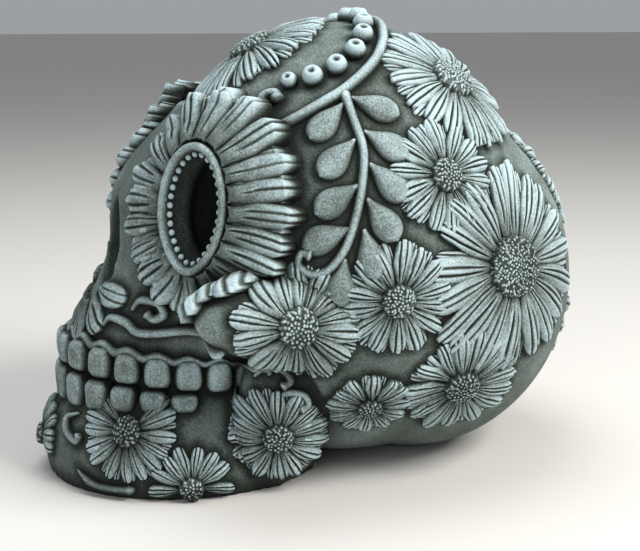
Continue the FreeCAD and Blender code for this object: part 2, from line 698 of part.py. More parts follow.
def finish(name, shape, others=()):
    """Cuts a piece by the pieces already made that it would run into, and keeps it as a node."""
    doc.recompute()
    boxes[name] = tight_box(shape)
    near = [nodes[other] for other in others if boxes[name].intersect(boxes[other])]
    for number, neighbour in enumerate(near, 1):
        shape = cut(f"{name}_fitted_{number}", shape, neighbour)
    doc.recompute()
    shape.Label = name
    nodes[name] = shape
    return shape


cranium = finish("cranium", make_cranium())
finish("lower_jaw", make_lower_jaw())
lower_arch = 0, SIZES["jaw_y"], SIZES["lower_arch_half_width"], SIZES["lower_arch_half_depth"]
upper_foot = SIZES["bite_z"] + SIZES["tooth_gap"]
lower_foot = SIZES["bite_z"] - SIZES["tooth_gap"] - SIZES["lower_tooth_height"]
for row_name, foot, arch in (("upper", upper_foot, FACE_SECTIONS[0]), ("lower", lower_foot, lower_arch)):
    row = teeth(f"{row_name}_tooth_row", foot, f"{{{row_name}_tooth_height}}", arch)
    finish(f"{row_name}_teeth", row, ["cranium", "lower_jaw"])

# left-hand pieces in the order in which they are cut to fit, each with its mirrored twin
left_pieces = []


def finish_pair(name, shape, others):
    finish(f"{name}_left", shape, others)
    left_pieces.append(f"{name}_left")


finish("daisy_forehead", daisy("forehead"))
finish("crown_vine", crown_vine(), ["daisy_forehead"])
finish("crown_beads", crown_beads(), ["cranium"])
for middle_name in MIDDLE_DAISIES[1:]:
    finish(f"daisy_{middle_name}", daisy(middle_name))

finish("nose_petals", nose_petals(), ["upper_teeth"])
finish("gum_band", gum_band(), ["nose_petals", "upper_teeth"])
finish_pair("eye_rim", eye_rim(), ["cranium"])
finish_pair("eye_petals", eye_petals(), ["eye_rim_left", "crown_vine"])
finish_pair("eye_beads", eye_beads(), ["cranium", "eye_rim_left"])
finish_pair("sprig_stem", strip("sprig_stem", side_points(STEM), SIZES["vine_half_width"], X_AXIS, skins_upper[1]),
            ["crown_vine"])
finish_pair("sprig_leaves", sprig_leaves(), ["cranium", "crown_vine", "sprig_stem_left"])
for side_name, lies_under in LIES_UNDER.items():
    finish_pair(f"daisy_{side_name}", daisy(side_name), lies_under)
finish_pair("lip_scroll", curls("lip_curls", [LIP_SCROLL, LIP_CURL], skins_upper[1]), ["gum_band"])
finish_pair("jaw_scrolls", curls("jaw_curls", JAW_CURLS, skins_jaw[1]), ["daisy_jaw_left"])
finish_pair("chin_scrolls", curls("chin_curls", CHIN_CURLS, skins_jaw[1]), [])

for left_name in left_pieces:
    right_name = left_name.replace("_left", "_right")
    twin = mirrored(f"{right_name}_piece", nodes[left_name])
    twin.Label = right_name
    nodes[right_name] = twin
doc.recompute()

# --- checks and files ----------------------------------------------------------------------------------

for thing in doc.Objects:
    if "Invalid" in thing.State or "Error" in thing.State:
        raise RuntimeError(f"{thing.Name} failed: {thing.State}")
for name, node in nodes.items():
    if node.Shape.isNull() or not node.Shape.isValid() or node.Shape.Volume < 1:
        raise RuntimeError(f"{name} has no valid shape")


os.makedirs("parts", exist_ok=True)
for name, node in nodes.items():
    # slivers left where one piece was cut to fit another are too small to be cast
    kept = [solid for solid in node.Shape.Solids if solid.Volume > SIZES["least_piece"]]
    Part.makeCompound(kept).exportStep(f"parts/{name}.step")
    print(name, round(sum(solid.Volume for solid in kept)), "mm3,", len(kept), "solids")
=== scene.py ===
import json
import random
from math import atan2, cos, exp, pi, radians, sin, sqrt

import bmesh
import bpy
import numpy as np
from mathutils import Matrix, Vector, noise
from mathutils.bvhtree import BVHTree

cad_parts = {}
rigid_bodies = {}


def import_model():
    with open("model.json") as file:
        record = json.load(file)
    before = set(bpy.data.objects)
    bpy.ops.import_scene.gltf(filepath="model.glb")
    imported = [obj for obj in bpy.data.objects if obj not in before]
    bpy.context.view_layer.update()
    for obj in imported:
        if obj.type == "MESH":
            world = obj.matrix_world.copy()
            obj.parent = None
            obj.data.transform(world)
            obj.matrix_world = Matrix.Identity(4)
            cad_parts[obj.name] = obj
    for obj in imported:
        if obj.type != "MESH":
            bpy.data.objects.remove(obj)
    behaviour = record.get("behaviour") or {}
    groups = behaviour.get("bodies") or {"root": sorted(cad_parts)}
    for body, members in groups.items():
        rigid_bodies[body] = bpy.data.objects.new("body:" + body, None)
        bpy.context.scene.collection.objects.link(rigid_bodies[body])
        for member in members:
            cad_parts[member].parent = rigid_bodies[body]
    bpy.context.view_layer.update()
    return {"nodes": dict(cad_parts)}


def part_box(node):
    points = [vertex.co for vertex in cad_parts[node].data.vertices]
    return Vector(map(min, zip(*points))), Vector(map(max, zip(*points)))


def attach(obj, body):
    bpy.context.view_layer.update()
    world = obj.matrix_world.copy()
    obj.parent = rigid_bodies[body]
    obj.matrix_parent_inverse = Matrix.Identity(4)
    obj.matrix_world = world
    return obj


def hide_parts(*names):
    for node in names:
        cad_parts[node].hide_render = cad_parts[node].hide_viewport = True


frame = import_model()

# A sugar skull of cast stone. The bone is one smooth casting; every flower, leaf, bead and scroll is a closed
# mesh of its own that follows the bone. Shapes are worked out in millimetres and become metres in new_piece.

MM = 0.001
UP = Vector((0, 0, 1))
random.seed(7)


# --- small tools ---------------------------------------------------------------------------------------


def smooth(low, high, x):
    """Rises smoothly from 0 at `low` to 1 at `high`."""
    t = min(1, max(0, (x - low) / (high - low)))
    return t * t * (3 - 2 * t)


def bell(x, width):
    """1 at 0, falling off on both sides."""
    return exp(-(x / width) ** 2)


class Shape:
    """Points in millimetres, faces, and how pale each point is (0 dark, 1 pale): dry brushing and painted
    shade.
    """

    def __init__(self):
        self.points, self.faces, self.pale = [], [], []

    def add_point(self, point, pale):
        self.points.append(point)
        self.pale.append(pale)
        return len(self.points) - 1

    def add_grid(self, rows, wrap=False):
        """Joins rows of point numbers with quads."""
        for lower, upper in zip(rows, rows[1:]):
            count = len(lower)
            for i in range(count if wrap else count - 1):
                j = (i + 1) % count
                self.faces.append((lower[i], lower[j], upper[j], upper[i]))

    def add_caps(self, rows, first, last):
        """Closes both ends of a wrapped grid with triangles to a point each."""
        count = len(rows[0])
        for i in range(count):
            j = (i + 1) % count
            self.faces.append((rows[0][j], rows[0][i], first))
            self.faces.append((rows[-1][i], rows[-1][j], last))

    def close_below(self, border, directions, depth):
        """Walls from a border loop down into the bone, and one face that closes them."""
        # The feet are fully dark: painted shade down the walls towards the bone.
        foot = [
            self.add_point(self.points[number] - direction * depth, 0.0)
            for number, direction in zip(border, directions)
        ]
        count = len(border)
        for i in range(count):
            j = (i + 1) % count
            self.faces.append((border[j], border[i], foot[i], foot[j]))
        self.faces.append(tuple(foot))


def border_of(rows):
    """The point numbers round the edge of a grid, in order."""
    ends = [row[-1] for row in rows[:-1]]
    starts = [row[0] for row in rows[:0:-1]]
    return rows[0][:-1] + ends + rows[-1][:0:-1] + starts


def new_piece(name, shape, nodes):
    """A smooth-shaded Blender object from a Shape, in place of the given CAD nodes."""
    mesh = bpy.data.meshes.new(name)
    mesh.from_pydata([point * MM for point in shape.points], [], shape.faces)
    mesh.attributes.new("pale", "FLOAT", "POINT").data.foreach_set("value", shape.pale)
    solid = bmesh.new()
    solid.from_mesh(mesh)
    bmesh.ops.recalc_face_normals(solid, faces=solid.faces)
    solid.to_mesh(mesh)
    solid.free()
    mesh.polygons.foreach_set("use_smooth", [True] * len(mesh.polygons))
    piece = bpy.data.objects.new(name, mesh)
    bpy.context.collection.objects.link(piece)
    dress(piece, nodes)


def dress(piece, nodes):
    """Stone on the piece, which rides on the skull and stands for the given CAD nodes."""
    piece.data.materials.clear()
    piece.data.materials.append(STONE)
    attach(piece, "root")
    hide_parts(*nodes)


def node_points(node):
    """A CAD node's vertices in millimetres."""
    mesh = frame["nodes"][node].data
    flat = np.zeros(len(mesh.vertices) * 3)
    mesh.vertices.foreach_get("co", flat)
    return flat.reshape(-1, 3) / MM


def loose_parts(node):
    """The vertices of each separate solid of a CAD node, in millimetres."""
    solid = bmesh.new()
    solid.from_mesh(frame["nodes"][node].data)
    bmesh.ops.remove_doubles(solid, verts=solid.verts, dist=1e-6)
    seen, parts = set(), []
    for start in solid.verts:
        if start in seen:
            continue
        stack, members = [start], []
        seen.add(start)
        while stack:
            vertex = stack.pop()
            members.append(vertex.co / MM)
            for edge in vertex.link_edges:
                other = edge.other_vert(vertex)
                if other not in seen:
                    seen.add(other)
                    stack.append(other)
        if len(members) > 3:
            parts.append(np.array(members))
    solid.free()
    return parts


def principal_axes(points):
    """Middle and axes of a cloud of points, longest first."""
    middle = (points.min(0) + points.max(0)) / 2
    _, _, axes = np.linalg.svd(points - points.mean(0), full_matrices=False)
    return Vector(middle), [Vector(axis) for axis in axes]


# --- material ------------------------------------------------------------------------------------------


def painted_top_light_low_shade(place, nodes, links, ranged):
    """Painted light and shade: paler towards the top and back of the skull, where the light falls, darker low
    on the face.
    """
    slope = nodes.new("ShaderNodeVectorMath")
    slope.operation = "DOT_PRODUCT"
    slope.inputs[1].default_value = (0, 0.6, 0.8)
    links.new(place, slope.inputs[0])
    return ranged(slope.outputs["Value"], -0.05, 0.15, -0.13, 0.06)


def make_stone():
    """Grey-green cast stone: pale blue-white dry brushing on raised edges, and painted shade in the hollows
    and between parts.
    """
    stone = bpy.data.materials.new("cast_stone")
    stone.use_nodes = True
    tree = stone.node_tree
    nodes, links = tree.nodes, tree.links
    shader = nodes["Principled BSDF"]
    place = nodes.new("ShaderNodeTexCoord").outputs["Object"]

    def noise_of(scale, detail, rough):
        texture = nodes.new("ShaderNodeTexNoise")
        texture.inputs["Scale"].default_value = scale
        texture.inputs["Detail"].default_value = detail
        texture.inputs["Roughness"].default_value = rough
        links.new(place, texture.inputs["Vector"])
        return texture.outputs["Fac"]

    def maths(kind, first, second, clamp=False):
        node = nodes.new("ShaderNodeMath")
        node.operation, node.use_clamp = kind, clamp
        for socket, value in zip(node.inputs, (first, second)):
            if isinstance(value, (int, float)):
                socket.default_value = value
            else:
                links.new(value, socket)
        return node.outputs[0]

    def ranged(value, low, high, to_low, to_high):
        node = nodes.new("ShaderNodeMapRange")
        links.new(value, node.inputs["Value"])
        for socket, number in zip(("From Min", "From Max", "To Min", "To Max"), (low, high, to_low, to_high)):
            node.inputs[socket].default_value = number
        return node.outputs["Result"]

    # The pale attribute holds dry brushing on raised parts and painted shade in hollows, set on each piece.
    brushing_and_shade = nodes.new("ShaderNodeAttribute")
    brushing_and_shade.attribute_name = "pale"
    openness = nodes.new("ShaderNodeAmbientOcclusion")
    openness.samples = 8
    openness.inputs["Distance"].default_value = 0.008
    # Pointiness: paler on raised edges, as dry brushing, and painted shade in creases.
    edge = ranged(nodes.new("ShaderNodeNewGeometry").outputs["Pointiness"], 0.44, 0.56, -0.25, 0.25)
    patches = ranged(noise_of(45, 3, 0.6), 0.3, 0.7, -0.12, 0.12)
    grain = ranged(noise_of(1500, 3, 0.7), 0.3, 0.7, -0.16, 0.16)
    # Painted shade from the occlusion node: darker in hollows and between parts, a little paler in the open.
    painted_occlusion_shade = ranged(openness.outputs["AO"], 0.25, 0.95, -0.55, 0.12)
    level = maths("ADD", brushing_and_shade.outputs["Fac"], edge)
    level = maths("ADD", level, patches)
    level = maths("ADD", level, grain)
    # Painted light from above and behind, painted shade low on the face.
    level = maths("ADD", level, painted_top_light_low_shade(place, nodes, links, ranged))
    level = maths("ADD", level, painted_occlusion_shade, clamp=True)
    ramp = nodes.new("ShaderNodeValToRGB")
    stops = ramp.color_ramp.elements
    stops[0].position, stops[0].color = 0.0, (0.010, 0.013, 0.010, 1)
    stops[1].position, stops[1].color = 1.0, (0.42, 0.53, 0.56, 1)
    for position, colour in ((0.28, (0.027, 0.036, 0.029, 1)), (0.62, (0.115, 0.145, 0.132, 1))):
        stop = stops.new(position)
        stop.color = colour
    links.new(level, ramp.inputs["Fac"])
    links.new(ramp.outputs["Color"], shader.inputs["Base Color"])
    links.new(ranged(level, 0, 1, 0.95, 0.72), shader.inputs["Roughness"])
    shader.inputs["Specular IOR Level"].default_value = 0.3

    pores = nodes.new("ShaderNodeBump")
    pores.inputs["Strength"].default_value = 0.55
    pores.inputs["Distance"].default_value = 0.0004
    links.new(noise_of(1100, 4, 0.65), pores.inputs["Height"])
    lumps = nodes.new("ShaderNodeBump")
    lumps.inputs["Strength"].default_value = 0.5
    lumps.inputs["Distance"].default_value = 0.0008
    links.new(noise_of(260, 3, 0.5), lumps.inputs["Height"])
    links.new(pores.outputs["Normal"], lumps.inputs["Normal"])
    links.new(lumps.outputs["Normal"], shader.inputs["Normal"])
    return stone


STONE = make_stone()


# --- bone ----------------------------------------------------------------------------------------------

BONE_VOXEL = 1.2
BONE_SMOOTHING = 8  # rounds of smoothing after the remesh
NOSTRIL = Vector((7.5, -77, 83)), Vector((7.6, 17, 17))  # middle and half sizes of the left half's opening
NOSTRIL_TILT = -14


def nostril_cutter(side):
    """An oval solid that opens one half of the nose, wider than the CAD's opening and open to the side."""
    solid = bmesh.new()
    bmesh.ops.create_uvsphere(solid, u_segments=48, v_segments=32, radius=1)
    middle, half_sizes = NOSTRIL
    tilt = Matrix.Rotation(radians(NOSTRIL_TILT), 4, "X")
    place = Matrix.Translation(Vector((middle.x * side, middle.y, middle.z)) * MM) @ tilt
    bmesh.ops.transform(solid, matrix=place @ Matrix.Diagonal((*(half_sizes * MM), 1)), verts=solid.verts)
    mesh = bpy.data.meshes.new("nostril")
    solid.to_mesh(mesh)
    solid.free()
    cutter = bpy.data.objects.new("nostril", mesh)
    bpy.context.collection.objects.link(cutter)
    return cutter


def make_bone():
    """The braincase, face and jaw as one smooth casting."""
    copies = []
    for node in ("cranium", "lower_jaw"):
        copy = frame["nodes"][node].copy()
        copy.data = frame["nodes"][node].data.copy()
        copy.parent = None
        for key in list(copy.keys()):
            del copy[key]
        bpy.context.collection.objects.link(copy)
        copies.append(copy)
    bpy.ops.object.select_all(action="DESELECT")
    for copy in copies:
        copy.select_set(True)
    bpy.context.view_layer.objects.active = copies[0]
    bpy.ops.object.join()
    bone = bpy.context.view_layer.objects.active
    bone.name = "bone_casting"
    cutters = [nostril_cutter(side) for side in (1, -1)]
    for cutter in cutters:
        opening = bone.modifiers.new("nostril", "BOOLEAN")
        opening.operation, opening.solver, opening.object = "DIFFERENCE", "EXACT", cutter
    remesh = bone.modifiers.new("remesh", "REMESH")
    remesh.mode, remesh.voxel_size = "VOXEL", BONE_VOXEL * MM
    relax = bone.modifiers.new("relax", "SMOOTH")
    relax.factor, relax.iterations = 0.5, BONE_SMOOTHING
    evaluated = bone.evaluated_get(bpy.context.evaluated_depsgraph_get())
    mesh = bpy.data.meshes.new_from_object(evaluated)
    bone.modifiers.clear()
    bone.data = mesh
    for cutter in cutters:
        bpy.data.objects.remove(cutter)
    mesh.polygons.foreach_set("use_smooth", [True] * len(mesh.polygons))
    return bone


def search_tree(piece):
    """A search tree of a piece's surface, in millimetres."""
    points = [vertex.co / MM for vertex in piece.data.vertices]
    faces = [tuple(polygon.vertices) for polygon in piece.data.polygons]
    return BVHTree.FromPolygons(points, faces)


def flatten_base(bone):
    """The underside stays flat on the ground after the smoothing."""
    for vertex in bone.data.vertices:
        if vertex.co.z < 0.6 * MM:
            vertex.co.z = 0


BONE = make_bone()
flatten_base(BONE)
TREE = search_tree(BONE)


def on_bone(point, out, reach=45):
    """Where a line along -out through the point meets the bone, and the bone's direction there."""
    hit, normal, _, _ = TREE.ray_cast(point + out * reach, -out, reach * 2)
    if hit is None:
        hit, normal, _, _ = TREE.find_nearest(point)
    if normal.dot(out) < 0:
        normal = -normal
    return hit, normal


# --- petals and daisies --------------------------------------------------------------------------------


class Petal:
    """One petal: how far from the middle it starts, its size, thickness and grooves, and how it ends.

    `blunt` rounds the tip, `root` is the share of the width at the root, and `depth` goes down into the bone.
    """

    def __init__(self, start, length, width, rise, grooves, groove_depth, blunt, root, depth=1.4,
                 root_level=None):
        self.start, self.length, self.width, self.rise = start, length, width, rise
        self.grooves, self.groove_depth, self.blunt = grooves, groove_depth, blunt
        self.root, self.depth, self.root_level = root, depth, root_level


GROOVE_WIDTH = 0.095  # of an engraved line, as a share of half the petal's width
FRILL_DROP = 9.5  # how far the frill round an eye slopes down at most, from the rim to the petals' ends


def groove_lines(count, phase, chance):
    """Each engraved line: where it lies across the petal, how deep it is, where it begins, how it drifts."""
    lines = []
    for number in range(count):
        across = -0.92 + 1.84 * (number + 1) / (count + 1) + phase * 0.4 + chance.uniform(-0.07, 0.07)
        deep = chance.uniform(0.55, 1.15)
        begin = chance.uniform(-0.05, 0.28)
        drift = chance.uniform(-0.1, 0.1)
        lines.append((across, deep, begin, drift))
    return lines


def on_frill(top, petal, out, u, v, groove):
    """Lifts a point of a petal that starts at the rim's level and slopes down to the bone."""
    round_edge = 1.4 * (1 - (1 - abs(v) ** 2.6) ** 0.6)
    step = petal.root_level - round_edge - groove * 0.4 - top.dot(out)
    top = top + out * max(0.0, step) * (1 - smooth(0.0, 0.92, u))
    sunk = petal.root_level - FRILL_DROP * u - top.dot(out)
    return top + out * max(0.0, sunk)


def add_petal(shape, petal, middle, along, across, out, seed, lift=0.0, along_steps=20, across_steps=24):
    """Adds a closed petal whose top follows the bone, with lines engraved along it and a blunt round end.

    With a root level (a distance along `out`), the petal starts at that level and slopes down to the bone.
    """
    chance = random.Random(seed)
    phase = chance.uniform(-0.25, 0.25)
    bend = chance.uniform(-0.08, 0.08) * petal.length
    tip_shape = chance.uniform(0.6, 1.4)
    lines = groove_lines(petal.grooves, phase, chance)
    rows, normals = [], {}
    for i in range(along_steps + 1):
        u = i / along_steps
        row = []
        for j in range(across_steps + 1):
            v = -1 + 2 * j / across_steps
            groove = sum(
                bell(v - line - drift * u, GROOVE_WIDTH) * deep * smooth(begin, begin + 0.2, u)
                for line, deep, begin, drift in lines
            )
            end = petal.length * (1 - petal.blunt * abs(v) ** 3 - 0.04 * tip_shape * groove)
            half = petal.width / 2 * (petal.root + (1 - petal.root) * smooth(0, 0.75, u))
            distance = petal.start + u * end
            sideways = v * half + bend * u * u
            spot = middle + along * distance + across * sideways
            foot, normal = on_bone(spot, out)
            body = (0.22 + 0.78 * (1 - abs(v) ** 2.2) ** 0.6) * (0.62 + 0.38 * smooth(0, 0.5, u))
            body *= 1 - 0.30 * smooth(0.84, 1, u)
            wobble = noise.noise(Vector((v * 2 + seed * 0.013, u * 3, seed * 0.37))) * 0.14 * petal.rise
            height = petal.rise * body - groove * petal.groove_depth + wobble + lift
            top = foot + normal * height
            if petal.root_level is not None:
                top = on_frill(top, petal, out, u, v, groove)
            # Dry brushing paler towards the petal's end; painted shade in the engraved lines, at the root and
            # along the sides.
            pale = 0.52 + 0.22 * smooth(0.1, 0.9, u) - 0.55 * min(1, groove) - 0.18 * (1 - smooth(0, 0.2, u))
            number = shape.add_point(top, max(0.0, pale - 0.3 * smooth(0.8, 1, abs(v))))
            normals[number] = normal
            row.append(number)
        rows.append(row)
    shape.add_grid(rows)
    border = border_of(rows)
    inward = [normals[number] if petal.root_level is None else out for number in border]
    shape.close_below(border, inward, petal.rise + petal.depth)


GOLDEN_ANGLE = 2.39996
DISC_RING, DISC_SPOKE = 0.27, 0.30  # spacing of the mesh points on a flower's middle


def add_disc(shape, middle, out, side, radius, rise, grain, seed):
    """Adds a flower's domed middle, covered in small grains."""
    up = out.cross(side)
    chance = random.Random(seed)
    grains = []
    count = int((radius / grain) ** 2 * 2.3)
    for number in range(count):
        distance = radius * sqrt((number + 0.5) / count)
        angle = number * GOLDEN_ANGLE + chance.uniform(-0.2, 0.2)
        grains.append((distance * cos(angle), distance * sin(angle), chance.uniform(0.6, 1.1)))
    grains = np.array(grains)
    rings = max(8, int(radius / DISC_RING))
    spokes = max(36, int(2 * pi * radius / DISC_SPOKE))
    foot, normal = on_bone(middle, out)
    rows = []
    for i in range(rings + 1):
        t = 0.02 + 0.98 * i / rings
        row = []
        for j in range(spokes):
            angle = 2 * pi * j / spokes
            a, b = radius * t * cos(angle), radius * t * sin(angle)
            place, direction = on_bone(middle + side * a + up * b, out)
            gaps = (grains[:, 0] - a) ** 2 + (grains[:, 1] - b) ** 2
            nearest = int(gaps.argmin())
            bump = max(0.0, 1 - gaps[nearest] / (grain * 0.62) ** 2) * grains[nearest, 2]
            dome = rise * (0.55 + 0.45 * sqrt(max(0, 1 - t ** 2.5))) * (1 - 0.35 * smooth(0.86, 1, t))
            height = dome + bump * grain * 0.5
            # Dry brushing on the tops of the grains; painted shade round the edge of the middle.
            pale = 0.20 + 0.55 * bump - 0.15 * smooth(0.9, 1, t)
            row.append(shape.add_point(place + direction * height, max(0, pale)))
        rows.append(row)
    shape.add_grid(rows, wrap=True)
    shape.faces.append(tuple(reversed(rows[0])))
    shape.close_below(list(reversed(rows[-1])), [normal] * spokes, rise + 1.4)


def facing_out(turn, lift, flip):
    """Direction out of the skull: turned from the front towards one side, and lifted."""
    turn, lift = radians(turn), radians(lift)
    return Vector((sin(turn) * cos(lift) * (-1 if flip else 1), -cos(turn) * cos(lift), sin(lift)))


def find_disc(node, facing):
    """Middle, side and reach of a daisy, from its CAD node: the disc stands highest off the bone."""
    points = [Vector(point) for point in node_points(node)]
    heights = np.array([TREE.find_nearest(point)[3] for point in points])
    side = UP.cross(facing).normalized()
    up = facing.cross(side)
    plan = np.array([(p.dot(side), p.dot(up)) for p in points])
    centre = (plan.min(0) + plan.max(0)) / 2
    half_span = (plan.max(0) - plan.min(0)).max() / 2
    near = np.hypot(*(plan - centre).T) < 0.42 * half_span + 1.5
    level = heights[near].max() - 0.6
    top = np.array([points[i] for i in np.nonzero(near & (heights > level))[0]])
    middle = Vector((top.min(0) + top.max(0)) / 2)
    across = [(Vector(p) - middle).dot(side) for p in top]
    upright = [(Vector(p) - middle).dot(up) for p in top]
    middle = middle + side * (max(across) + min(across)) / 2 + up * (max(upright) + min(upright)) / 2
    reach = max(((p - middle) - facing * (p - middle).dot(facing)).length for p in points)
    return middle, side, reach


# Each daisy: the direction it faces (turn and lift in degrees), how many petals it has, and where the run of
# petals starts and ends (degrees from straight up, towards +X). A full daisy has them all round.
DAISIES = {
    "forehead": (0, 59, 16, -180, 180),
    "crown": (127, 45, 17, -180, 180),
    "temple": (105, 20, 14, -180, 180),
    "parietal": (108, 9, 19, -180, 180),
    "ear": (90, -6, 14, -180, 180),
    "nape": (91, -27, 15, -180, 180),
    "mastoid": (83, -33, 12, -180, 180),
    "cheek": (72, 4, 14, -180, 180),
    "jaw": (80, -8, 14, -180, 180),
    "occiput_upper": (180, 22, 17, -180, 180),
    "occiput_lower": (180, -16, 16, -180, 180),
    "chin": (0, -4, 8, -105, 105),
    "lip": (62, 2, 13, 50, 310),
    "jaw_edge": (80, -4, 8, -92, 92),
}
DISC_SHARE = 0.30  # radius of a daisy's middle over its reach
DISC_GRAIN = 0.95
MIDDLE_DAISIES = ("forehead", "chin", "occiput_upper", "occiput_lower")
NO_BACK_PETALS = ("chin", "jaw_edge")


def make_daisy(kind, node, seed, flip):
    """A ring of engraved petals over a second ring set between them, round a grainy middle."""
    turn, lift, count, first, last = DAISIES[kind]
    out = facing_out(turn, lift, flip)
    middle, side, reach = find_disc(node, out)
    radius = DISC_SHARE * reach
    up = out.cross(side)
    full = last - first == 360
    step = (last - first) / (count if full else count - 1)
    shape = Shape()
    chance = random.Random(seed)
    width = 2 * pi * reach * 0.76 * (step / 360)
    layers = [(0.5, 0.97, 0.75, -0.2)] if kind not in NO_BACK_PETALS else []
    layers.append((0.0, 1.0, 0.96, 0.25))
    for shift, length_scale, width_scale, lift in layers:
        for number in range(count):
            angle = radians(first + (number + shift) * step + chance.uniform(-0.13, 0.13) * step)
            if flip:
                angle = -angle
            along = (up * cos(angle) + side * sin(angle)).normalized()
            petal = Petal(
                start=radius * 0.72,
                length=(reach - radius * 0.72) * length_scale * chance.uniform(0.93, 1.04),
                width=width * width_scale * chance.uniform(0.90, 1.12),
                rise=(1.2 if shift else 2.1) * chance.uniform(0.85, 1.18),
                grooves=2 if width > 5.5 else chance.choice((1, 1, 2)),
                groove_depth=0.4 + 0.012 * reach,
                blunt=chance.uniform(0.22, 0.36),
                root=0.36,
            )
            add_petal(shape, petal, middle, along, out.cross(along), out, chance.randrange(10 ** 6), lift)
    add_disc(shape, middle, out, side, radius, 3.0 + radius * 0.09, DISC_GRAIN, seed)
    new_piece(f"flower_{node[6:]}", shape, [node])


def make_daisies():
    for seed, kind in enumerate(DAISIES, 100):
        if kind in MIDDLE_DAISIES:
            make_daisy(kind, f"daisy_{kind}", seed, False)
        else:
            make_daisy(kind, f"daisy_{kind}_left", seed, False)
            make_daisy(kind, f"daisy_{kind}_right", seed, True)


# --- eyes ----------------------------------------------------------------------------------------------


EYE_TURN, EYE_LIFT = 39, 8
SOCKET_REACH = 19
RIM_WIDTH = 2.7
# The rim's section from its outer foot over the top to deep inside the socket: reach outwards, height
RIM_PROFILE = [
    (RIM_WIDTH, -12), (RIM_WIDTH, -1.5), (2.5, -0.7), (1.9, -0.1), (1.3, 0), (0.7, -0.2), (0.2, -0.8),
    (0.0, -1.6), (-0.4, -2.4), (-1.4, -4.0), (-2.4, -8), (-2.6, -12),
]
RIM_SPOKES = 120
EYE_BEADS, EYE_BEAD_RADIUS = 30, 1.15
EYE_BEAD_INSET, EYE_BEAD_DEPTH = 0.9, 3.0  # from the rim's inner edge, and below its top
FRILL_PETALS, FRILL_LENGTH, FRILL_WIDTH = 20, 15.8, 9.2
EYES = []  # middle and direction of each eye, filled as they are made


def eye_frame(side_name):
    """Middle, out, side and up of an eye, and the half width and half height of the rim's inner edge."""
    points = node_points(f"eye_rim_{side_name}")
    out = facing_out(EYE_TURN, EYE_LIFT, side_name == "right")
    side = UP.cross(out).normalized()
    up = out.cross(side)
    local = np.array([[Vector(p).dot(side), Vector(p).dot(up), Vector(p).dot(out)] for p in points])
    low, high = local.min(0), local.max(0)
    middle = side * (low[0] + high[0]) / 2 + up * (low[1] + high[1]) / 2 + out * high[2]
    return middle, out, side, up, (high[0] - low[0]) / 2, (high[1] - low[1]) / 2


def oval_point(half_width, half_height, angle):
    """A point on the eye's oval, which is a little pointed at the bottom."""
    pinch = 1 - 0.16 * max(0, -sin(angle)) ** 2
    return half_width * cos(angle) * pinch, half_height * sin(angle)


def oval(half_width, half_height, angle):
    """A point on the eye's oval and the direction out of it."""
    x, y = oval_point(half_width, half_height, angle)
    xa, ya = oval_point(half_width, half_height, angle - 0.02)
    xb, yb = oval_point(half_width, half_height, angle + 0.02)
    out_x, out_y = yb - ya, xa - xb
    size = sqrt(out_x ** 2 + out_y ** 2)
    return x, y, out_x / size, out_y / size


def even_oval(half_width, half_height, count, start=0.0):
    """Angles that split the oval into equal lengths."""
    steps = 720
    lengths = [0.0]
    for step in range(steps):
        ax, ay, _, _ = oval(half_width, half_height, 2 * pi * step / steps)
        bx, by, _, _ = oval(half_width, half_height, 2 * pi * (step + 1) / steps)
        lengths.append(lengths[-1] + sqrt((bx - ax) ** 2 + (by - ay) ** 2))
    goals = [(number + start) % count / count * lengths[-1] for number in range(count)]
    return [2 * pi * np.interp(goal, lengths, range(steps + 1)) / steps for goal in goals]


def make_rim(side_name, middle, out, side, up, inner_w, inner_h):
    """The oval wire round the socket, with a skirt down into the bone."""
    rim = Shape()
    rows = []
    for number in range(RIM_SPOKES):
        x, y, out_x, out_y = oval(inner_w, inner_h, 2 * pi * number / RIM_SPOKES)
        row = []
        for reach, height in RIM_PROFILE:
            place = middle + side * (x + out_x * reach) + up * (y + out_y * reach) + out * height
            wobble = noise.noise(place * 0.35) * 0.25
            # Painted shade on the rim where it goes down into the socket and the bone.
            row.append(rim.add_point(place + out * wobble, 0.5 if height > -1.8 else 0.1))
        rows.append(row)
    rows.append(rows[0])
    rim.add_grid(rows, wrap=True)
    new_piece(f"rim_{side_name}", rim, [f"eye_rim_{side_name}"])


def make_eye_beads(side_name, middle, out, side, up, inner_w, inner_h):
    """A string of small round beads inside the rim."""
    beads = Shape()
    half_width, half_height = inner_w - EYE_BEAD_INSET, inner_h - EYE_BEAD_INSET
    for angle in even_oval(half_width, half_height, EYE_BEADS):
        x, y, _, _ = oval(half_width, half_height, angle)
        add_bead(beads, middle + side * x + up * y - out * EYE_BEAD_DEPTH, out, EYE_BEAD_RADIUS, 0.0)
    new_piece(f"beads_{side_name}", beads, [f"eye_beads_{side_name}"])


